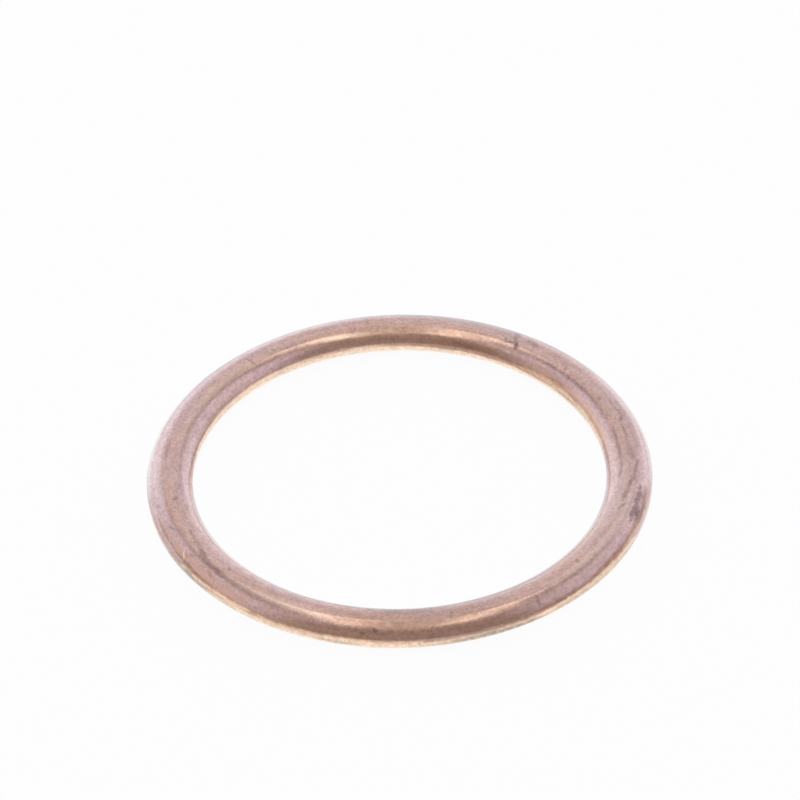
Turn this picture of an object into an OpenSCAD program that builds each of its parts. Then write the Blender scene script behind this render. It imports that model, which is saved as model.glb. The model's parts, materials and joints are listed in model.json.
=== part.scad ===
// Copper ring gasket for the joint between an exhaust port and its pipe.
// One solid ring of oval section. It lies on its base land, with the ring axis on +Z
// and the origin at the middle of the base.

/* [Ring] */
// Inner diameter, the clear passage for the gas
inner_d = 36; // [20:0.5:70]
// Radial width of the section, from the inner wall to the outer wall
section_w = 4; // [3.2:0.1:8]
// Thickness of the ring along its axis, before the joint is tightened
section_h = 2.6; // [1.8:0.1:3.4]

/* [Rounding] */
// Radius of the tight curves where the section turns into the inner and outer walls
edge_r = 0.7; // [0.3:0.05:1.1]

/* [Contact bands] */
// Width of the narrow flat on the crown and on the base, where the joint seals
face_land_w = 0.6; // [0.2:0.1:1.4]
// Height of the straight band at the middle of the inner wall and of the outer wall
wall_land_h = 0.2; // [0.1:0.1:1]

/* [Hidden] */

copper = [0.74, 0.55, 0.49];
ring_steps = 180;
arc_steps = 120;

// Middle of the section, on its way round the ring
mean_r = (inner_d + section_w) / 2;
half_w = section_w / 2;
half_h = section_h / 2;

// Room for the two arcs of one shoulder, between the end of the face land and the end of the wall land
shoulder_w = half_w - face_land_w / 2;
shoulder_h = half_h - wall_land_h / 2;

// The crown arc leaves the face land level and runs into the edge arc without a corner,
// which leaves one radius that fits
crown_r = (pow(shoulder_w, 2) + pow(shoulder_h, 2) - 2 * shoulder_w * edge_r)
    / (2 * (shoulder_h - edge_r));

// Centres of the two arcs of the shoulder on the upper right, from the middle of the section
crown_centre = [face_land_w / 2, half_h - crown_r];
edge_centre = [half_w - edge_r, wall_land_h / 2];

// The arcs meet where the line through both centres reaches them
meet_angle = atan2(edge_centre.y - crown_centre.y, edge_centre.x - crown_centre.x);
meet_x = edge_centre.x + edge_r * cos(meet_angle);

// One shoulder of the oval: the crown arc up to the meeting point, then the edge arc down to the wall
module shoulder() {
    intersection() {
        translate(crown_centre) circle(crown_r, $fn = arc_steps);
        translate([face_land_w / 2, wall_land_h / 2]) square([meet_x - face_land_w / 2, shoulder_h]);
    }
    intersection() {
        translate(edge_centre) circle(edge_r, $fn = arc_steps);
        translate([meet_x, wall_land_h / 2]) square([half_w - meet_x, shoulder_h]);
    }
}

// Oval section about its own middle: two lands across it and a shoulder in each quarter
module oval_section() {
    square([face_land_w, section_h], center = true);
    square([section_w, wall_land_h], center = true);
    for (side = [0, 1], turned = [0, 1])
        mirror([side, 0]) mirror([0, turned]) shoulder();
}

module gasket_ring() {
    color(copper)
        rotate_extrude($fn = ring_steps)
            translate([mean_r, half_h]) oval_section();
}

gasket_ring();
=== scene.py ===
# Looks of a copper ring gasket for an exhaust joint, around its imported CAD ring.
# Lengths are in metres and angles in degrees, where a name or comment says nothing else.
import json
import math
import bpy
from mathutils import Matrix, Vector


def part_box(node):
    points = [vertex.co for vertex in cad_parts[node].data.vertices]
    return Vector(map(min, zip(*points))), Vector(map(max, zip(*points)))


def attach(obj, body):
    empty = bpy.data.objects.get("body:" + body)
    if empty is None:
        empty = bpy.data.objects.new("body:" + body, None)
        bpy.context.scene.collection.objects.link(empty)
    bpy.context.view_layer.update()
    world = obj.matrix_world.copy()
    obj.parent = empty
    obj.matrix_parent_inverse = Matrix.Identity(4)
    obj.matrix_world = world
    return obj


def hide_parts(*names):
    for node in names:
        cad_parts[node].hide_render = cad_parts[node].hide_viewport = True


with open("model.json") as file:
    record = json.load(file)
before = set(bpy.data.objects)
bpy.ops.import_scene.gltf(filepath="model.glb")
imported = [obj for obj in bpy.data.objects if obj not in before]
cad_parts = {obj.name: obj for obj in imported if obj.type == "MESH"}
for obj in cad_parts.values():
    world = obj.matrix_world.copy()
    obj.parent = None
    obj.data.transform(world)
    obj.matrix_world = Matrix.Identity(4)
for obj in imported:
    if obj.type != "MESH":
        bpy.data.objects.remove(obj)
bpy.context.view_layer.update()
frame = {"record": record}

from types import SimpleNamespace

import bpy
import numpy as np
from mathutils import Matrix, Vector

MM = 0.001

# The ring's own sizes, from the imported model
NODE = "gasket_ring"
ring_low, ring_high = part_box(NODE)
mounts = {mount["name"]: mount for mount in frame["record"]["mounts"]}
outer_r = ring_high.x
inner_r = mounts["gas_bore"]["dims"]["r_mm"] * MM
thickness = ring_high.z - ring_low.z
mean_r = (outer_r + inner_r) / 2
half_w = (outer_r - inner_r) / 2
half_h = thickness / 2
MM_PER_RADIAN_AROUND = mean_r / MM
MM_PER_RADIAN_ACROSS = (half_w + half_h) / 2 / MM

# The section's bands and tight curves, as the part's source has them
FACE_LAND_W = 0.6 * MM
WALL_LAND_H = 0.2 * MM
EDGE_R = 0.7 * MM

# Mesh steps, round the ring and along a quarter of the section
AROUND_STEPS = 720
WALL_STEPS = 1
EDGE_STEPS = 10
CROWN_STEPS = 15
LAND_STEPS = 2

# The ring isn't perfectly round or flat: (waves round the ring, how far, angle of the first crest)
RADIUS_WAVES = [
    (1, 0.034 * MM, 21),
    (2, 0.030 * MM, 66),
    (3, 0.018 * MM, 323),
    (5, 0.008 * MM, 40),
    (11, 0.004 * MM, 12),
]
HEIGHT_WAVES = [
    (2, 0.003 * MM, 30),
    (5, 0.002 * MM, 10),
    (11, 0.001 * MM, 25),
]
# Taken off the radius all round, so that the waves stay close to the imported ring's outline
RADIUS_LOSS = 0.012 * MM

# Dents and nicks: (angle round the ring, clock angle on the section, half width, depth).
# The angle round the ring runs from +X towards +Y. The clock angle is 0 at the outer wall,
# 90 at the crown and 180 at the inner wall.
DENTS = [
    (57, 106, 0.28 * MM, 0.020 * MM),
    (61, 82, 0.22 * MM, 0.012 * MM),
    (290, 2, 0.45 * MM, 0.060 * MM),
    (344, 52, 0.50 * MM, 0.018 * MM),
    (210, 36, 0.40 * MM, 0.015 * MM),
    (22, 82, 0.30 * MM, 0.012 * MM),
    (124, 128, 0.55 * MM, 0.012 * MM),
    (263, 44, 0.20 * MM, 0.015 * MM),
    (303, 52, 0.30 * MM, 0.012 * MM),
    (151, 62, 0.60 * MM, 0.014 * MM),
    (84, 20, 0.50 * MM, 0.025 * MM),
    (182, 172, 0.40 * MM, 0.020 * MM),
]

# Camera: it looks along +Y and down, from far away through a long lens
CAMERA_ELEVATION = 40.06
CAMERA_DISTANCE = 438.7 * MM
CAMERA_ROLL = 1.212
CAMERA_CLIP_START = 10 * MM
IMAGE_WIDTH_PX = 800
FOCAL_PX = 5037
BASE_BELOW_CENTRE_PX = 86.9
BASE_LEFT_OF_CENTRE_PX = 0.4
SENSOR_WIDTH_MM = 36

# Colours, as linear red, green and blue
# The first colour is copper painted paler low on the walls: painted sheen for the whiter grazing
# reflection of the floor
PAINTED_SHEEN_COPPER = (0.92, 0.77, 0.64)
BARE_COPPER = (0.87, 0.65, 0.47)
ORANGE_TARNISH = (0.70, 0.46, 0.33)
BROWN_TARNISH = (0.44, 0.28, 0.21)
TAN_TARNISH = (0.524, 0.348, 0.311)
LILAC_TARNISH = (0.519, 0.358, 0.348)
# Mark colours. The dark one is also painted reflection, the pale one also painted sheen and the grey
# one also painted contact shadow.
DARK_SPOT_AND_REFLECTION = (0.125, 0.065, 0.065)
PALE_SPOT_AND_SHEEN = (0.86, 0.78, 0.77)
BROWN_MARK = (0.28, 0.15, 0.09)
ORANGE_MARK = (0.56, 0.33, 0.21)
GREY_SMUDGE_AND_SHADOW = (0.29, 0.26, 0.215)
PAPER_WHITE = (0.985, 0.985, 1.0)

# The depth of the tarnish film is the sine of the clock angle, with shifts. Metal is bare
# up to the first depth here, and the film is whole from the second.
FILM_DEPTHS = (-0.02, 0.54)
# The base has a film of its own: this times the sine, plus this
BASE_FILM = (-1.6, -1.0)
# How much deeper the film is on the ring's +X and -X sides
FILM_AT_SIDES = 0.08
# How much deeper it is on the inner wall, as the clock angle's cosine falls through a range
FILM_INSIDE = 0.09
INSIDE_COSINES = (0.0, -0.8)
# Broad patches and a ragged edge: (cell length, cell width) in millimetres, then the shift
PATCH_CELLS = (7.0, 3.0)
PATCH_SHIFT = 0.07
RAGGED_CELLS = (1.2, 0.4)
RAGGED_SHIFT = 0.05

# The film's colours by how much of it there is, from 0 to 1
ORANGE_FILM = 0.28
BROWN_FILM = 0.6
WHOLE_FILM = (0.5, 0.9)
# The whole film is tan, and lilac in patches: (cell length, cell width, detail)
LILAC_CELLS = (6.0, 1.6, 3.0)
LILAC_RANGE = (0.40, 0.70)
LILAC_AT_SIDES = 0.18
# Clean metal is painted paler as the sine of the clock angle falls through a range: painted sheen low
# on the walls, standing in for the whiter grazing reflection of the floor
PAINTED_SHEEN_SINES = (0.1, -0.45)

# Noise seldom leaves this range
NOISE_RANGE = (0.3, 0.7)
NOISE_MIDDLE = (0.5, 0.5, 0.5)
NOISE_DETAIL = 2.0
NOISE_ROUGHNESS = 0.5
CRISP_ROUGHNESS = 0.6
# Mottle that follows the ring: (cell length, cell width), then the darkest and lightest shade
CLOUD_CELLS = (1.3, 0.8)
CLOUD_SHADES = (0.95, 1.05)
GRAIN_CELLS = (0.32, 0.34)
GRAIN_SHADES = (0.87, 1.13)
LINE_CELLS = (5.0, 0.30)
LINE_SHADES = (0.96, 1.04)
# Dust and specks, by patches to a millimetre
DUST_PATCHES = 5.0
DUST_SHADES = (0.95, 1.05)
SPECK_PATCHES = 1.9
SPECK_RANGE = (0.64, 0.74)
SPECK_SHADE = 0.70

# Marks wander by up to half of this many millimetres. They fade out over a range of squared
# distances from their middle, counted in their own half lengths and half widths.
MARK_DRIFT_MM = 0.45
DRIFT_PATCHES = 1.6
DRIFT_DETAIL = 3.0
MARK_FADE = (1.7, 0.1)
# Textures that break up the marks: (cell length, cell width, detail), noise range, weakest share
BROKEN = ((0.45, 0.30, 3.0), (0.36, 0.58), 0.60)
STREAKY = ((1.1, 0.30, 4.0), (0.40, 0.60), 0.15)

# Sheen and relief of the metal; it is rougher where there is little film
SHEEN_CELLS = (1.6, 0.5)
ROUGHNESS = (0.17, 0.26)
BARE_FILM = (0.8, 0.2)
BARE_EXTRA_ROUGHNESS = 0.12
LINE_HEIGHT = 0.006 * MM
PIT_PATCHES = 1.4
PIT_HEIGHT = 0.004 * MM
COAT_WEIGHT = 0.7
COAT_ROUGHNESS = 0.15

# Marks on the ring: from one place to another, each an angle round the ring and a clock
# angle on the section, then the half width in millimetres and how strong it is
# Dark marks: spots, streaks and the blotch near 345 round the ring. The long lines near clock 111 to
# 126, from 352 through 0 to 50 and from 122 to 198 round the ring, are painted reflection of the dark
# gap beside the strip lamps.
DARK_SPOTS_AND_PAINTED_REFLECTION = [
    (0, 84, 8, 88, 0.24, 0.35),
    (0, 114, 14, 111, 0.14, 0.40),
    (2, 62, 26, 64, 0.28, 0.28),
    (8, 86, 14, 87, 0.12, 0.50),
    (14, 118, 50, 117, 0.16, 0.25),
    (15, 88, 17.5, 73, 0.15, 0.50),
    (17, 76, 24, 82, 0.13, 0.30),
    (25, 105, 26, 100, 0.14, 0.35),
    (37.5, 108, 37.5, 127, 0.12, 0.50),
    (40.5, 103, 40.8, 95, 0.15, 0.35),
    (52, 82, 55.5, 72, 0.28, 0.36),
    (56.5, 112, 56.9, 103, 0.26, 0.85),
    (57.5, 74, 59.5, 63, 0.22, 0.40),
    (57.5, 100, 58.5, 80, 0.20, 0.50),
    (57.5, 100, 60, 107, 0.13, 0.60),
    (59.8, 108, 60.6, 92, 0.11, 0.50),
    (97, 62, 97.6, 98, 0.16, 0.25),
    (101, 104, 101.2, 112, 0.11, 0.40),
    (122, 126, 150, 120, 0.18, 0.30),
    (124, 103, 124.3, 98, 0.15, 0.40),
    (131.2, 112, 131.8, 86, 0.13, 0.60),
    (150, 120, 180, 119, 0.17, 0.26),
    (170, 82, 176, 80, 0.12, 0.30),
    (176, 119, 198, 118, 0.20, 0.32),
    (191.3, 100, 192, 94, 0.16, 0.45),
    (200.5, 55, 202, 61, 0.13, 0.40),
    (205, 96, 213, 86, 0.14, 0.40),
    (211, 88, 216, 76, 0.22, 0.50),
    (215, 76, 224, 69, 0.24, 0.50),
    (222.6, 96, 223, 92, 0.16, 0.40),
    (224, 69, 240, 62, 0.20, 0.26),
    (261, 36, 261.3, 35, 0.19, 0.35),
    (262, 112, 280, 113, 0.30, 0.45),
    (263.5, 49, 263.9, 46, 0.19, 0.55),
    (281.5, 76, 281.8, 95, 0.12, 0.40),
    (302.5, 38, 302.6, 60, 0.16, 0.50),
    (306, 65, 336, 65, 0.17, 0.25),
    (318, 90, 318.4, 90, 0.22, 0.45),
    (341, 34, 349, 36, 0.20, 0.42),
    (341, 48, 352, 48, 0.24, 0.20),
    (341, 92, 343, 83, 0.16, 0.45),
    (343, 57, 338.5, 55, 0.22, 0.75),
    (343.5, 54, 340.5, 46, 0.34, 0.80),
    (344.5, 94, 349, 88, 0.22, 0.45),
    (348.3, 57, 347.2, 46, 0.20, 0.60),
    (348.5, 57, 343, 56, 0.24, 0.70),
    (350, 88, 353.5, 79, 0.17, 0.55),
    (350.5, 60, 348.5, 58, 0.16, 0.70),
    (352, 114, 360, 109, 0.12, 0.45),
    (353, 80, 360, 73, 0.14, 0.45),
]
BROWN_MARKS = [
    (0, 61, 60, 61, 0.36, 0.14),
    (32, 140, 60, 146, 0.40, 0.42),
    (34, 172, 92, 173, 0.40, 0.54),
    (36, 75, 62, 75, 0.34, 0.10),
    (36, 145, 44, 152, 0.15, 0.80),
    (44, 149, 76, 152, 0.42, 0.58),
    (112, 151, 168, 152, 0.24, 0.24),
    (146, 156, 178, 156, 0.28, 0.52),
    (172, 140, 188, 139, 0.28, 0.14),
    (172, 175, 190, 175, 0.30, 0.13),
    (196, 35, 207, 32, 0.18, 0.80),
    (202, 34, 224, 36, 0.46, 0.20),
    (206, 29, 222, 27, 0.16, 0.75),
    (211, 43, 213, 58, 0.18, 0.50),
    (214, 45, 240, 45, 0.34, 0.16),
    (219, 60, 221, 46, 0.20, 0.50),
    (222, 4, 256, 4, 0.40, 0.10),
    (230, 5, 250, 5, 0.28, 0.22),
    (254, 118, 276, 119, 0.34, 0.22),
    (256, 84, 292, 87, 0.85, 0.30),
    (272, 73, 290, 73, 0.28, 0.10),
    (280, -14, 312, -12, 0.36, 0.14),
    (284, 13, 308, 14, 0.18, 0.45),
    (286, 38, 330, 43, 0.44, 0.28),
    (304, 158, 330, 158, 0.30, 0.14),
    (308, 119, 352, 119, 0.36, 0.18),
    (310, 6, 330, 6, 0.28, 0.13),
    (310, 17, 330, 18, 0.24, 0.30),
    (320, 27, 300, 21, 0.22, 0.62),
    (336, 33, 316, 28, 0.25, 0.85),
    (338, 38, 352, 39, 0.40, 0.30),
    (340, 35, 350, 36, 0.26, 0.60),
    (341, 45, 343, 34, 0.22, 0.80),
    (346, 37, 334, 32, 0.25, 0.90),
    (352, 39, 345, 38, 0.20, 0.70),
]
ORANGE_MARKS = [
    (0, 60, 22, 62, 0.34, 0.30),
    (6, 148, 66, 148, 0.42, 0.75),
    (46, 175, 98, 175, 0.40, 0.35),
    (192, 27, 206, 29, 0.36, 0.30),
    (202, 42, 218, 40, 0.46, 0.85),
    (214, 38, 232, 36, 0.50, 0.75),
    (218, 46, 240, 44, 0.36, 0.35),
    (230, 26, 250, 30, 0.30, 0.40),
    (308, 119, 342, 119, 0.36, 0.50),
    (322, 27, 350, 28, 0.36, 0.50),
]
# Grey marks. Those low on the outer wall, at clock angles from 2 down to -16, and the one on the far
# inner wall from 8 to 48 round the ring, are painted contact shadow where the ring meets the floor;
# the others are grey smudges.
GREY_SMUDGES_AND_PAINTED_SHADOW = [
    (8, 177, 48, 181, 0.42, 0.26),
    (56, 64, 90, 62, 0.28, 0.50),
    (174, -16, 240, -16, 0.30, 0.44),
    (200, -6, 222, -5, 0.46, 0.82),
    (208, 2, 217, 2, 0.28, 0.80),
    (250, -8, 260, -10, 0.22, 0.50),
    (273, -14, 284, -14, 0.32, 0.34),
    (280, -10, 303, -12, 0.42, 0.80),
    (283, -3, 299, -6, 0.24, 0.35),
    (284, 118, 312, 116, 0.26, 0.30),
    (300, -9, 345, -2, 0.34, 0.42),
]
# Pale marks. Those along the outer edges at the ring's sides, from 330 through 0 to 44 and from 96 to
# 198 round the ring, and along the near inner edge, from 184 to 256 and from 322 to 358, are painted
# sheen for the pale grazing reflection. Those at 99 to 114 near clock 120 and at 226 to 252 near clock
# 74 are painted highlights. The rest lighten the tarnish in patches.
PALE_SPOTS_AND_PAINTED_SHEEN = [
    (-8, 22, 30, 36, 0.28, 0.60),
    (15, 44, 40, 46, 0.34, 0.30),
    (18, 27, 44, 30, 0.30, 0.24),
    (92, 156, 112, 157, 0.28, 0.10),
    (96, 59, 132, 58, 0.36, 0.17),
    (99, 124, 114, 119, 0.16, 0.30),
    (104, 44, 150, 38, 0.32, 0.76),
    (118, 172, 168, 172, 0.36, 0.16),
    (122, 110, 168, 112, 0.50, 0.12),
    (140, 40, 188, 24, 0.36, 0.90),
    (172, 61, 198, 60, 0.34, 0.14),
    (184, 150, 206, 144, 0.26, 0.34),
    (196, 148, 256, 132, 0.36, 0.52),
    (214, 135, 252, 133, 0.34, 0.38),
    (226, 73, 252, 75, 0.34, 0.15),
    (310, 75, 350, 75, 0.40, 0.20),
    (322, 142, 352, 150, 0.32, 0.36),
    (330, 8, 358, 14, 0.36, 0.26),
    (332, 104, 360, 104, 0.34, 0.13),
    (334, 160, 358, 162, 0.44, 0.26),
]
# Bare metal laid over the film. The long bands near clock 134 to 142, all round the ring, are painted
# reflection that lightens the top of the dark band on the far side and the near inner edge. The narrow
# one at 210 is a light scratch, and the one at 232 to 268 lightens the outer wall.
BRIGHT_SCRATCH_AND_PAINTED_REFLECTION = [
    (-4, 138, 36, 138, 0.36, 0.15),
    (62, 134, 116, 134, 0.30, 0.15),
    (188, 142, 262, 135, 0.38, 0.20),
    (210, 52, 211.5, 30, 0.08, 0.65),
    (232, 26, 268, 26, 0.30, 0.16),
    (272, 135, 344, 137, 0.34, 0.23),
]
# Places where the tarnish is thin; the last number is how much thinner
THIN_PLACES = [
    (3, 160, 50, 156, 0.50, 0.27),
    (30, 163, 52, 162, 0.40, 0.42),
    (116, 168, 184, 164, 0.40, 0.18),
    (212, 16, 236, 18, 0.26, 0.24),
    (306, 2, 334, 13, 0.38, 0.42),
]

# Studio: a pale tent with two strip lamps in its roof, darker on the camera's side
STRIP_HEIGHT = 230 * MM
STRIP_COLOUR = (1.0, 0.985, 0.77)
# (name, how far to the side, how far back, width, length, turn about the vertical, watts)
STRIPS = [
    ("strip_left", -37 * MM, 64 * MM, 34 * MM, 200 * MM, -7, 0.0240),
    ("strip_right", 47 * MM, 44 * MM, 35 * MM, 160 * MM, 0, 0.0205),
]
# Each region of the tent fades in over a range of directions. The roof and the backdrop go by
# how far a direction leads sideways or back for each step up, and a step is at least this.
LEAST_STEP_UP = 0.1
ROOF = (0.82, 0.755, 0.67)
ROOF_GAP = (0.70, 0.64, 0.62)
GAP_BEGINS = (0.25, 0.38)
GAP_ENDS = (0.62, 0.46)
SIDE_WALL = (1.08, 1.06, 1.14)
SIDE_WALL_BEGINS = (0.46, 0.70)
# The low part of the side walls, by how high and how far sideways a direction points
LOW_SIDE = (0.80, 0.71, 0.66)
LOW_SIDE_SHARE = 0.7
LOW_SIDE_HEIGHTS = (0.45, 0.25)
LOW_SIDE_TURNS = (0.75, 0.92)
# The room, by how far a direction turns to the camera and by how level it is
ROOM = (0.495, 0.41, 0.342)
ROOM_TURNS = (0.1, 0.8)
ROOM_LEVELS = (0.1, 0.45)
ROOM_LOW = (0.78, 0.70, 0.62)
ROOM_LOW_HEIGHTS = (0.35, 0.0)
# The backdrop's colours by how high a direction points
BACKDROP = [
    (0.00, (1.24, 1.27, 1.36)),
    (0.31, (1.18, 1.20, 1.28)),
    (0.45, (1.10, 1.11, 1.17)),
    (0.60, (1.02, 1.02, 1.05)),
    (0.75, (0.95, 0.95, 0.95)),
]
BACKDROP_BEGINS = (0.9, 1.4)
# Brighter places in the tent: a direction, how far it spreads, a colour and how much of it shows
GLOWS = [
    ((-0.42, 0.88, 0.18), 0.50, (1.60, 1.67, 1.80), 0.5),
    ((0.55, 0.82, 0.15), 0.50, (1.50, 1.55, 1.65), 0.5),
    ((-0.07, 0.68, 0.73), 0.28, (1.20, 1.12, 1.03), 0.4),
    ((0.13, 0.62, 0.77), 0.26, (1.15, 1.07, 1.00), 0.3),
]
GLOW_CORE = 0.1
FLOOR_HALF_SIZE = 3.0
FLOOR_LIT_SHARE = 0.045
FLOOR_GLOW = 0.963
FLOOR_MIRRORED_GLOW = 1.0


def arc(centre, radius, start, end, steps):
    """Points of an arc about centre, with the outward direction at each one; angles in radians."""
    turned = np.linspace(start, end, steps + 1)
    outward = np.column_stack([np.cos(turned), np.sin(turned)])
    return np.array(centre) + radius * outward, outward


def straight(start, end, outward, steps):
    """Points of a straight stretch with one outward direction."""
    share = np.linspace(0, 1, steps + 1)[:, None]
    points = np.array(start) * (1 - share) + np.array(end) * share
    return points, np.tile(outward, (steps + 1, 1))


def quarter_section():
    """Upper outer quarter of the section, from wall to crown, and its outward directions."""
    shoulder_w = half_w - FACE_LAND_W / 2
    shoulder_h = half_h - WALL_LAND_H / 2
    squares = shoulder_w**2 + shoulder_h**2 - 2 * shoulder_w * EDGE_R
    crown_r = squares / (2 * (shoulder_h - EDGE_R))
    crown_centre = (FACE_LAND_W / 2, half_h - crown_r)
    edge_centre = (half_w - EDGE_R, WALL_LAND_H / 2)
    meet = math.atan2(edge_centre[1] - crown_centre[1], edge_centre[0] - crown_centre[0])
    stretches = [
        straight((half_w, 0), (half_w, WALL_LAND_H / 2), (1, 0), WALL_STEPS),
        arc(edge_centre, EDGE_R, 0, meet, EDGE_STEPS),
        arc(crown_centre, crown_r, meet, math.pi / 2, CROWN_STEPS),
        straight((FACE_LAND_W / 2, half_h), (0, half_h), (0, 1), LAND_STEPS),
    ]
    points = np.concatenate([stretches[0][0]] + [stretch[0][1:] for stretch in stretches[1:]])
    outward = np.concatenate([stretches[0][1]] + [stretch[1][1:] for stretch in stretches[1:]])
    return points, outward


def full_section():
    """The closed oval, run from the outer wall over the crown, the inner wall and the base."""
    whole = []
    for line in quarter_section():
        upper = np.concatenate([line, (line * (-1, 1))[::-1][1:]])
        lower = (upper * (1, -1))[::-1][1:-1]
        whole.append(np.concatenate([upper, lower]))
    return whole


def clock_angle(points):
    """Angle of section points about the oval's middle, as if the oval were a circle."""
    return np.degrees(np.arctan2(points[:, 1] / half_h, points[:, 0] / half_w))


def wander(waves, around):
    """How far the ring strays from true at each angle round it."""
    strays = [reach * np.cos(count * (around - math.radians(crest))) for count, reach, crest in waves]
    return sum(strays)


def swing(around, reach, height):
    """Points or directions turned round the ring's axis, from a reach out from it and a height."""
    reach, height = np.broadcast_arrays(reach, height)
    return np.stack([reach * np.cos(around), reach * np.sin(around), height], axis=-1)


def ring_points():
    """Vertices of the ring as a grid, one row for each step round it."""
    points, outward = full_section()
    around = np.linspace(0, 2 * math.pi, AROUND_STEPS, endpoint=False)[:, None]
    reach = mean_r - RADIUS_LOSS + points[:, 0] + wander(RADIUS_WAVES, around)
    height = half_h + points[:, 1] + wander(HEIGHT_WAVES, around) * (1 + points[:, 1] / half_h)
    grid = swing(around, reach, height)
    normals = swing(around, np.broadcast_to(outward[:, 0], reach.shape), outward[:, 1])
    clock = clock_angle(points)
    for dent_around, dent_clock, half_width, depth in DENTS:
        nearest = points[np.argmin(np.abs((clock - dent_clock + 180) % 360 - 180))]
        centre = swing(math.radians(dent_around), mean_r + nearest[0], half_h + nearest[1])
        away = np.linalg.norm(grid - centre, axis=-1, keepdims=True) / half_width
        grid = grid - normals * depth * np.exp(-(away**2))
    grid[..., 2] = np.maximum(grid[..., 2], 0)
    return grid


def ring_mesh():
    """The gasket as one closed mesh of quads, smooth all over."""
    grid = ring_points()
    rows, columns = grid.shape[:2]
    corner = np.arange(rows * columns).reshape(rows, columns)
    ahead = np.roll(corner, -1, axis=0)
    quads = np.stack([corner, ahead, np.roll(ahead, -1, axis=1), np.roll(corner, -1, axis=1)], axis=-1)
    mesh = bpy.data.meshes.new("copper_gasket")
    mesh.from_pydata(grid.reshape(-1, 3).tolist(), [], quads.reshape(-1, 4).tolist())
    mesh.shade_smooth()
    mesh.validate()
    piece = bpy.data.objects.new("copper_gasket", mesh)
    bpy.context.scene.collection.objects.link(piece)
    return piece


def plug(tree, socket, value):
    """Sets an input to a value, or links it to another node's output."""
    if isinstance(value, bpy.types.NodeSocket):
        tree.links.new(value, socket)
    else:
        socket.default_value = value


def put(tree, kind, settings=None, **inputs):
    """Adds a node, sets its options and its named inputs, and returns it."""
    made = tree.nodes.new(kind)
    for name, value in (settings or {}).items():
        setattr(made, name, value)
    for name, value in inputs.items():
        plug(tree, made.inputs[name.replace("_", " ")], value)
    return made


def sums(tree, operation, *values):
    """A Math node's result."""
    made = put(tree, "ShaderNodeMath", {"operation": operation})
    for place, value in enumerate(values):
        plug(tree, made.inputs[place], value)
    return made.outputs[0]


def vector_sums(tree, operation, first, second=None, scale=None):
    """A Vector Math node's vector result."""
    made = put(tree, "ShaderNodeVectorMath", {"operation": operation})
    plug(tree, made.inputs[0], first)
    if second is not None:
        plug(tree, made.inputs[1], second)
    if scale is not None:
        plug(tree, made.inputs["Scale"], scale)
    return made.outputs["Vector"]


def step_between(tree, value, low, high, to_low=0.0, to_high=1.0):
    """A value that eases from to_low to to_high as value goes from low to high."""
    made = put(tree, "ShaderNodeMapRange", {"interpolation_type": "SMOOTHSTEP"}, Value=value)
    ends = {"From Min": low, "From Max": high, "To Min": to_low, "To Max": to_high}
    for name, end in ends.items():
        plug(tree, made.inputs[name], end)
    return made.outputs["Result"]


def spread(tree, value, least, most):
    """A noise's usual range, spread out from least to most."""
    return step_between(tree, value, *NOISE_RANGE, least, most)


def colour(tone):
    """A colour with its alpha."""
    return (*tone, 1.0)


def blend_colours(tree, share, first, second):
    """Two colours mixed by a share."""
    made = put(tree, "ShaderNodeMix", {"data_type": "RGBA"})
    plug(tree, made.inputs["Factor"], share)
    plug(tree, made.inputs["A"], first)
    plug(tree, made.inputs["B"], second)
    return made.outputs["Result"]


def colour_ramp(tree, value, stops):
    """A colour that runs through stops, pairs of a position and a colour."""
    ramp = put(tree, "ShaderNodeValToRGB", Fac=value)
    elements = ramp.color_ramp.elements
    for position, _ in stops[1:-1]:
        elements.new(position)
    for element, (position, tone) in zip(elements, stops):
        element.position = position
        element.color = colour(tone)
    return ramp.outputs["Color"]


def noise(tree, place, scale, detail=NOISE_DETAIL, roughness=NOISE_ROUGHNESS, output="Fac"):
    """Noise at a place in millimetres; scale is in patches to a millimetre."""
    sizes = {"Scale": scale, "Detail": detail, "Roughness": roughness}
    return put(tree, "ShaderNodeTexNoise", Vector=place, **sizes).outputs[output]


def new_group(name, inputs, outputs):
    """An empty node group; inputs and outputs are pairs of a name and a socket kind."""
    group = bpy.data.node_groups.new(name, "ShaderNodeTree")
    for way, sockets in (("INPUT", inputs), ("OUTPUT", outputs)):
        for label, kind in sockets:
            group.interface.new_socket(label, in_out=way, socket_type="NodeSocket" + kind)
    given = group.nodes.new("NodeGroupInput").outputs
    result = group.nodes.new("NodeGroupOutput").inputs
    return group, given, result


def use_group(tree, group, **inputs):
    """Places a node group and sets its inputs; returns its outputs."""
    return put(tree, "ShaderNodeGroup", {"node_tree": group}, **inputs).outputs


def ring_place_group():
    """Where a point is: the angles round the ring and on the section in radians, and the reach
    out from the ring's axis in millimetres."""
    outputs = [("Around", "Float"), ("Across", "Float"), ("Reach", "Float")]
    tree, given, result = new_group("ring_place", [("Place", "Vector")], outputs)
    parts = put(tree, "ShaderNodeSeparateXYZ", Vector=given["Place"]).outputs
    across_square = sums(tree, "MULTIPLY", parts["Y"], parts["Y"])
    reach = sums(tree, "SQRT", sums(tree, "MULTIPLY_ADD", parts["X"], parts["X"], across_square))
    plug(tree, result["Around"], sums(tree, "ARCTAN2", parts["Y"], parts["X"]))
    up = sums(tree, "MULTIPLY_ADD", parts["Z"], MM / half_h, -1.0)
    out = sums(tree, "MULTIPLY_ADD", reach, MM / half_w, -mean_r / half_w)
    plug(tree, result["Across"], sums(tree, "ARCTAN2", up, out))
    plug(tree, result["Reach"], reach)
    return tree


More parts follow.
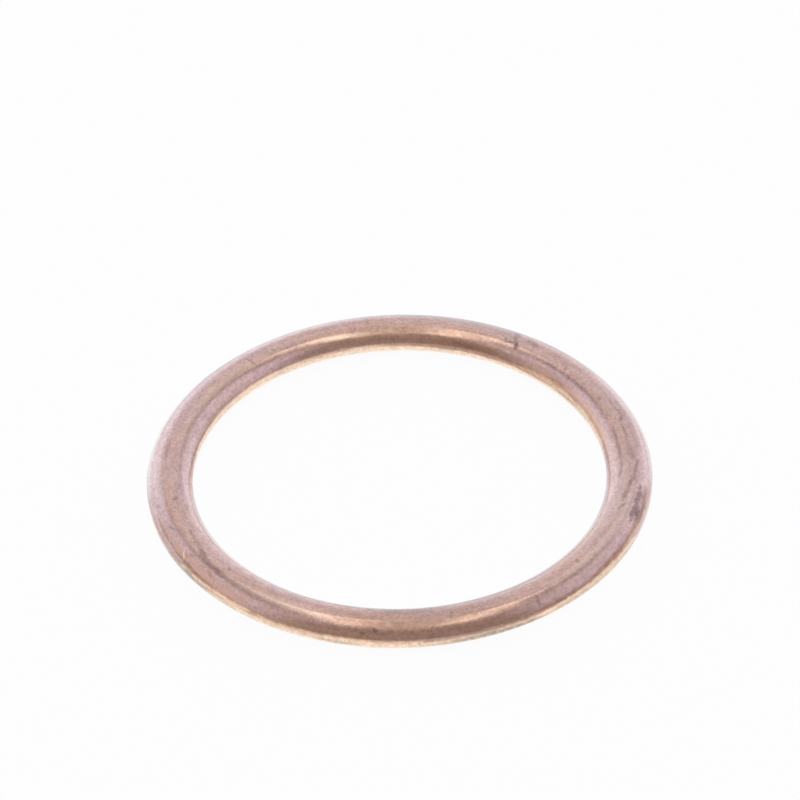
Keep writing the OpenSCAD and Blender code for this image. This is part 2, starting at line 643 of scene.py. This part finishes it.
def ring_noise_group():
    """Noise that follows the ring, in cells of a length round it and a width across it."""
    sizes = [("Reach", "Float"), ("Length", "Float"), ("Width", "Float"), ("Detail", "Float")]
    tree, given, result = new_group("ring_noise", [("Place", "Vector")] + sizes, [("Value", "Float")])
    parts = put(tree, "ShaderNodeSeparateXYZ", Vector=given["Place"]).outputs
    run_x = sums(tree, "DIVIDE", parts["X"], given["Length"])
    run_y = sums(tree, "DIVIDE", parts["Y"], given["Length"])
    run_out = sums(tree, "DIVIDE", given["Reach"], given["Width"])
    run = put(tree, "ShaderNodeCombineXYZ", X=run_x, Y=run_y, Z=run_out).outputs[0]
    made = put(tree, "ShaderNodeTexNoise", {"noise_dimensions": "4D"}, Vector=run, Scale=1.0)
    plug(tree, made.inputs["Detail"], given["Detail"])
    plug(tree, made.inputs["W"], sums(tree, "DIVIDE", parts["Z"], given["Width"]))
    plug(tree, result["Value"], made.outputs["Fac"])
    return tree


def mark_group():
    """One soft mark on the ring, from an oval spot to a long scratch; all lengths in millimetres."""
    places = ["Along", "Across", "Middle Along", "Middle Across"]
    sizes = ["Half Length", "Half Width", "Turn", "Strength"]
    inputs = [(name, "Float") for name in places + sizes]
    tree, given, result = new_group("mark", inputs, [("Mask", "Float")])
    half_way_round = math.pi * MM_PER_RADIAN_AROUND
    aside = sums(tree, "SUBTRACT", given["Along"], given["Middle Along"])
    aside = sums(tree, "WRAP", aside, half_way_round, -half_way_round)
    above = sums(tree, "SUBTRACT", given["Across"], given["Middle Across"])
    run = sums(tree, "COSINE", given["Turn"])
    rise = sums(tree, "SINE", given["Turn"])
    fall = sums(tree, "MULTIPLY", rise, -1.0)
    long_way = sums(tree, "MULTIPLY", above, sums(tree, "DIVIDE", rise, given["Half Length"]))
    run_share = sums(tree, "DIVIDE", run, given["Half Length"])
    long_way = sums(tree, "MULTIPLY_ADD", aside, run_share, long_way)
    short_way = sums(tree, "MULTIPLY", above, sums(tree, "DIVIDE", run, given["Half Width"]))
    fall_share = sums(tree, "DIVIDE", fall, given["Half Width"])
    short_way = sums(tree, "MULTIPLY_ADD", aside, fall_share, short_way)
    short_square = sums(tree, "MULTIPLY", short_way, short_way)
    away_square = sums(tree, "MULTIPLY_ADD", long_way, long_way, short_square)
    plug(tree, result["Mask"], step_between(tree, away_square, *MARK_FADE, 0.0, given["Strength"]))
    return tree


def ring_spot(tree):
    """Where a point is on the ring, with the groups of the noise and the marks that go by it."""
    spot = SimpleNamespace(noise_group=ring_noise_group(), mark_group=mark_group())
    metres = put(tree, "ShaderNodeTexCoord").outputs["Object"]
    spot.place = vector_sums(tree, "SCALE", metres, scale=1 / MM)
    around, across, spot.reach = use_group(tree, ring_place_group(), Place=spot.place)

    # How far up and out a point is on the section, and how near to the ring's +X or -X side
    spot.up = sums(tree, "SINE", across)
    spot.out = sums(tree, "COSINE", across)
    towards_x = sums(tree, "COSINE", around)
    spot.sideways = sums(tree, "MULTIPLY", towards_x, towards_x)

    # Marks keep to a place in millimetres round and across the ring, with wandering edges
    drift = noise(tree, spot.place, DRIFT_PATCHES, DRIFT_DETAIL, CRISP_ROUGHNESS, "Color")
    drift = vector_sums(tree, "SUBTRACT", drift, NOISE_MIDDLE)
    drift = vector_sums(tree, "SCALE", drift, scale=MARK_DRIFT_MM)
    drift = put(tree, "ShaderNodeSeparateXYZ", Vector=drift).outputs
    spot.along_mm = sums(tree, "MULTIPLY_ADD", around, MM_PER_RADIAN_AROUND, drift["X"])
    spot.across_mm = sums(tree, "MULTIPLY_ADD", across, MM_PER_RADIAN_ACROSS, drift["Y"])
    return spot


def ring_noise(tree, spot, length, width, detail=NOISE_DETAIL):
    """Noise in cells of a length round the ring and a width across it, in millimetres."""
    sizes = {"Length": length, "Width": width, "Detail": detail}
    return use_group(tree, spot.noise_group, Place=spot.place, Reach=spot.reach, **sizes)["Value"]


def marks_mask(tree, spot, marks):
    """All the marks of one list together, as one mask."""
    whole = None
    for from_around, from_clock, to_around, to_clock, half_width, strength in marks:
        run = math.radians(to_around - from_around) * MM_PER_RADIAN_AROUND
        rise = math.radians(to_clock - from_clock) * MM_PER_RADIAN_ACROSS
        mask = use_group(
            tree,
            spot.mark_group,
            Along=spot.along_mm,
            Across=spot.across_mm,
            Middle_Along=math.radians((from_around + to_around) / 2) * MM_PER_RADIAN_AROUND,
            Middle_Across=math.radians((from_clock + to_clock) / 2) * MM_PER_RADIAN_ACROSS,
            Half_Length=math.hypot(run, rise) / 2 + half_width,
            Half_Width=half_width,
            Turn=math.atan2(rise, run),
            Strength=strength,
        )["Mask"]
        whole = mask if whole is None else sums(tree, "MAXIMUM", whole, mask)
    return whole


def film_amount(tree, spot):
    """How much tarnish film there is, from 0 low on the walls to 1 on the faces."""
    depth = sums(tree, "MAXIMUM", spot.up, sums(tree, "MULTIPLY_ADD", spot.up, *BASE_FILM))
    at_sides = sums(tree, "MULTIPLY", spot.sideways, FILM_AT_SIDES)
    inside = step_between(tree, spot.out, *INSIDE_COSINES, 0.0, FILM_INSIDE)
    depth = sums(tree, "ADD", depth, sums(tree, "ADD", at_sides, inside))
    patch = spread(tree, ring_noise(tree, spot, *PATCH_CELLS), -PATCH_SHIFT, PATCH_SHIFT)
    ragged = spread(tree, ring_noise(tree, spot, *RAGGED_CELLS), -RAGGED_SHIFT, RAGGED_SHIFT)
    depth = sums(tree, "ADD", depth, sums(tree, "ADD", patch, ragged))
    depth = sums(tree, "SUBTRACT", depth, marks_mask(tree, spot, THIN_PLACES))
    return step_between(tree, depth, *FILM_DEPTHS)


def film_colour(tree, spot, film):
    """The film's colour: orange and brown where it begins, tan and lilac where it is whole, over clean
    metal painted paler low on the walls as sheen.
    """
    lilac = ring_noise(tree, spot, *LILAC_CELLS)
    lilac = sums(tree, "MULTIPLY_ADD", spot.sideways, LILAC_AT_SIDES, lilac)
    lilac = step_between(tree, lilac, *LILAC_RANGE)
    whole = blend_colours(tree, lilac, colour(TAN_TARNISH), colour(LILAC_TARNISH))
    # Painted sheen: clean metal turns paler low on the walls
    pale = step_between(tree, spot.up, *PAINTED_SHEEN_SINES)
    clean = blend_colours(tree, pale, colour(BARE_COPPER), colour(PAINTED_SHEEN_COPPER))
    stops = [(0.0, BARE_COPPER), (ORANGE_FILM, ORANGE_TARNISH), (BROWN_FILM, BROWN_TARNISH)]
    start = colour_ramp(tree, film, stops)
    start = blend_colours(tree, step_between(tree, film, 0.0, ORANGE_FILM), clean, start)
    return blend_colours(tree, step_between(tree, film, *WHOLE_FILM), start, whole)


def mottle(tree, spot, lines):
    """How light or dark the metal is, from mottle in three sizes, drawn lines and specks."""
    cloud = spread(tree, ring_noise(tree, spot, *CLOUD_CELLS), *CLOUD_SHADES)
    grain = spread(tree, ring_noise(tree, spot, *GRAIN_CELLS), *GRAIN_SHADES)
    dust = noise(tree, spot.place, DUST_PATCHES, roughness=CRISP_ROUGHNESS)
    dust = spread(tree, dust, *DUST_SHADES)
    streak = spread(tree, lines, *LINE_SHADES)
    speck = noise(tree, spot.place, SPECK_PATCHES, roughness=CRISP_ROUGHNESS)
    speck = step_between(tree, speck, *SPECK_RANGE, 1.0, SPECK_SHADE)
    patches = sums(tree, "MULTIPLY", cloud, grain)
    fine = sums(tree, "MULTIPLY", dust, streak)
    return sums(tree, "MULTIPLY", sums(tree, "MULTIPLY", patches, fine), speck)


def mark_texture(tree, spot, cells, noise_range, weakest):
    """A share from weakest to 1 that breaks up a mark."""
    return step_between(tree, ring_noise(tree, spot, *cells), *noise_range, weakest, 1.0)


def with_marks(tree, spot, tone):
    """The metal's colour with its stains, spots and scratches laid over it, and with painted contact
    shadow, painted reflection and painted sheen laid on in the same way.
    """
    broken = mark_texture(tree, spot, *BROKEN)
    streaky = mark_texture(tree, spot, *STREAKY)
    for marks, mark_colour, texture in (
        (ORANGE_MARKS, ORANGE_MARK, streaky),
        (GREY_SMUDGES_AND_PAINTED_SHADOW, GREY_SMUDGE_AND_SHADOW, broken),
        (BROWN_MARKS, BROWN_MARK, broken),
        (DARK_SPOTS_AND_PAINTED_REFLECTION, DARK_SPOT_AND_REFLECTION, broken),
        (PALE_SPOTS_AND_PAINTED_SHEEN, PALE_SPOT_AND_SHEEN, 1.0),
        (BRIGHT_SCRATCH_AND_PAINTED_REFLECTION, BARE_COPPER, 1.0),
    ):
        mask = sums(tree, "MULTIPLY", marks_mask(tree, spot, marks), texture)
        tone = blend_colours(tree, mask, tone, colour(mark_colour))
    return tone


def sheen(tree, spot, film):
    """The metal's roughness, patchy and higher where there is little film."""
    patchy = spread(tree, ring_noise(tree, spot, *SHEEN_CELLS), *ROUGHNESS)
    bare = step_between(tree, film, *BARE_FILM, 0.0, BARE_EXTRA_ROUGHNESS)
    return sums(tree, "ADD", patchy, bare)


def relief(tree, spot, lines):
    """The metal's normal, with drawn lines and fine pits."""
    lines_height = sums(tree, "MULTIPLY", lines, LINE_HEIGHT)
    pits_height = sums(tree, "MULTIPLY", noise(tree, spot.place, PIT_PATCHES), PIT_HEIGHT)
    height = sums(tree, "ADD", lines_height, pits_height)
    bump = put(tree, "ShaderNodeBump", Strength=1.0, Distance=1.0, Height=height)
    return bump.outputs["Normal"]


def new_material(name):
    """A material and its empty node tree."""
    material = bpy.data.materials.new(name)
    material.use_nodes = True
    material.node_tree.nodes.clear()
    return material, material.node_tree


def aged_copper():
    """Copper with a thin mottled tarnish, golden where it has stayed clean."""
    material, tree = new_material("aged_copper")
    spot = ring_spot(tree)
    film = film_amount(tree, spot)
    lines = ring_noise(tree, spot, *LINE_CELLS)
    tone = film_colour(tree, spot, film)
    tone = vector_sums(tree, "SCALE", tone, scale=mottle(tree, spot, lines))
    shader = put(
        tree,
        "ShaderNodeBsdfPrincipled",
        Base_Color=with_marks(tree, spot, tone),
        Roughness=sheen(tree, spot, film),
        Normal=relief(tree, spot, lines),
        Metallic=1.0,
        Coat_Weight=COAT_WEIGHT,
        Coat_Roughness=COAT_ROUGHNESS,
    )
    put(tree, "ShaderNodeOutputMaterial", Surface=shader.outputs[0])
    return material


def white_paper():
    """Paper that looks white to the camera and in the copper, and keeps the ring's soft shadow."""
    material, tree = new_material("white_paper")
    lit = put(tree, "ShaderNodeBsdfDiffuse", Color=colour([FLOOR_LIT_SHARE] * 3))
    rays = put(tree, "ShaderNodeLightPath").outputs
    mirrored = sums(tree, "MAXIMUM", rays["Is Glossy Ray"], rays["Is Transmission Ray"])
    shown = sums(tree, "MULTIPLY", rays["Is Camera Ray"], FLOOR_GLOW)
    shown = sums(tree, "MULTIPLY_ADD", mirrored, FLOOR_MIRRORED_GLOW, shown)
    glow = put(tree, "ShaderNodeEmission", Color=colour(PAPER_WHITE), Strength=shown)
    both = put(tree, "ShaderNodeAddShader")
    plug(tree, both.inputs[0], lit.outputs[0])
    plug(tree, both.inputs[1], glow.outputs[0])
    put(tree, "ShaderNodeOutputMaterial", Surface=both.outputs[0])
    material.cycles.emission_sampling = "NONE"
    return material


def make_floor():
    """A wide flat floor under the ring, which isn't part of it."""
    size = FLOOR_HALF_SIZE
    corners = [(-size, -size, 0), (size, -size, 0), (size, size, 0), (-size, size, 0)]
    mesh = bpy.data.meshes.new("floor")
    mesh.from_pydata(corners, [], [(0, 1, 2, 3)])
    floor = bpy.data.objects.new("floor", mesh)
    floor.data.materials.append(white_paper())
    bpy.context.scene.collection.objects.link(floor)


def roof_and_sides(tree, parts, step_up):
    """The roof with a darker gap beside each strip lamp, then the pale side walls."""
    roof_x = sums(tree, "ABSOLUTE", sums(tree, "DIVIDE", parts["X"], step_up))
    gap_begins = step_between(tree, roof_x, *GAP_BEGINS)
    gap = sums(tree, "MULTIPLY", gap_begins, step_between(tree, roof_x, *GAP_ENDS))
    lit = blend_colours(tree, gap, colour(ROOF), colour(ROOF_GAP))
    lit = blend_colours(tree, step_between(tree, roof_x, *SIDE_WALL_BEGINS), lit, colour(SIDE_WALL))
    low = sums(tree, "MULTIPLY", step_between(tree, parts["Z"], *LOW_SIDE_HEIGHTS), LOW_SIDE_SHARE)
    turned = step_between(tree, sums(tree, "ABSOLUTE", parts["X"]), *LOW_SIDE_TURNS)
    return blend_colours(tree, sums(tree, "MULTIPLY", low, turned), lit, colour(LOW_SIDE))


def with_room(tree, parts, lit):
    """The darker, warmer room on the camera's side, paler low down."""
    height_square = sums(tree, "MULTIPLY", parts["Z"], parts["Z"])
    level = sums(tree, "SQRT", sums(tree, "SUBTRACT", 1.0, height_square))
    to_camera = sums(tree, "DIVIDE", parts["Y"], sums(tree, "MULTIPLY", level, -1.0))
    turned = step_between(tree, to_camera, *ROOM_TURNS)
    room = sums(tree, "MULTIPLY", turned, step_between(tree, level, *ROOM_LEVELS))
    low = step_between(tree, parts["Z"], *ROOM_LOW_HEIGHTS)
    return blend_colours(tree, room, lit, blend_colours(tree, low, colour(ROOM), colour(ROOM_LOW)))


def with_backdrop(tree, parts, step_up, lit):
    """The white backdrop on the far side."""
    roof_y = sums(tree, "DIVIDE", parts["Y"], step_up)
    backdrop = colour_ramp(tree, parts["Z"], BACKDROP)
    return blend_colours(tree, step_between(tree, roof_y, *BACKDROP_BEGINS), lit, backdrop)


def with_glows(tree, way, lit):
    """The brighter places of the tent."""
    for direction, reach, tone, share in GLOWS:
        gone = put(tree, "ShaderNodeVectorMath", {"operation": "DISTANCE"})
        plug(tree, gone.inputs[0], way)
        plug(tree, gone.inputs[1], direction)
        near = step_between(tree, gone.outputs["Value"], reach, GLOW_CORE, 0.0, share)
        lit = blend_colours(tree, near, lit, colour(tone))
    return lit


def make_tent():
    """The world: a tent that the ring mirrors, and paper white where the camera sees it."""
    world = bpy.data.worlds.new("tent")
    bpy.context.scene.world = world
    world.use_nodes = True
    tree = world.node_tree
    tree.nodes.clear()
    way = put(tree, "ShaderNodeTexCoord").outputs["Generated"]
    parts = put(tree, "ShaderNodeSeparateXYZ", Vector=way).outputs
    step_up = sums(tree, "MAXIMUM", parts["Z"], LEAST_STEP_UP)
    lit = roof_and_sides(tree, parts, step_up)
    lit = with_room(tree, parts, lit)
    lit = with_backdrop(tree, parts, step_up, lit)
    lit = with_glows(tree, way, lit)
    seen = put(tree, "ShaderNodeLightPath").outputs["Is Camera Ray"]
    shown = blend_colours(tree, seen, lit, colour(PAPER_WHITE))
    background = put(tree, "ShaderNodeBackground", Color=shown, Strength=1.0)
    put(tree, "ShaderNodeOutputWorld", Surface=background.outputs[0])


def strip_lamp(name, x, y, width, length, turn, watts):
    """One long soft lamp in the tent's roof, shining down."""
    data = bpy.data.lights.new(name, "AREA")
    data.shape = "RECTANGLE"
    data.size = width
    data.size_y = length
    data.energy = watts
    data.color = STRIP_COLOUR
    lamp = bpy.data.objects.new(name, data)
    lamp.location = (x, y, STRIP_HEIGHT)
    lamp.rotation_euler.z = math.radians(turn)
    lamp.visible_camera = False
    bpy.context.scene.collection.objects.link(lamp)


def make_camera():
    """The photograph's view: down on the ring, with the ring's base a little below the middle."""
    data = bpy.data.cameras.new("camera")
    data.sensor_width = SENSOR_WIDTH_MM
    data.lens = FOCAL_PX * SENSOR_WIDTH_MM / IMAGE_WIDTH_PX
    data.clip_start = CAMERA_CLIP_START
    camera = bpy.data.objects.new("camera", data)
    bpy.context.scene.collection.objects.link(camera)
    pitch = math.radians(CAMERA_ELEVATION)
    back = Vector((0, -math.cos(pitch), math.sin(pitch)))
    aim_up = math.atan(BASE_BELOW_CENTRE_PX / FOCAL_PX)
    aim_right = math.atan(BASE_LEFT_OF_CENTRE_PX / FOCAL_PX)
    to_base = (-back).to_track_quat("-Z", "Y").to_matrix().to_4x4()
    roll = Matrix.Rotation(-math.radians(CAMERA_ROLL), 4, "Z")
    aim = Matrix.Rotation(aim_up, 4, "X") @ Matrix.Rotation(-aim_right, 4, "Y")
    camera.matrix_world = Matrix.Translation(back * CAMERA_DISTANCE) @ to_base @ roll @ aim
    bpy.context.scene.camera = camera


gasket = ring_mesh()
gasket.data.materials.append(aged_copper())
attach(gasket, "root")
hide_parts(NODE)

make_floor()
make_tent()
for strip in STRIPS:
    strip_lamp(*strip)
make_camera()
bpy.context.scene.view_settings.view_transform = "Standard"
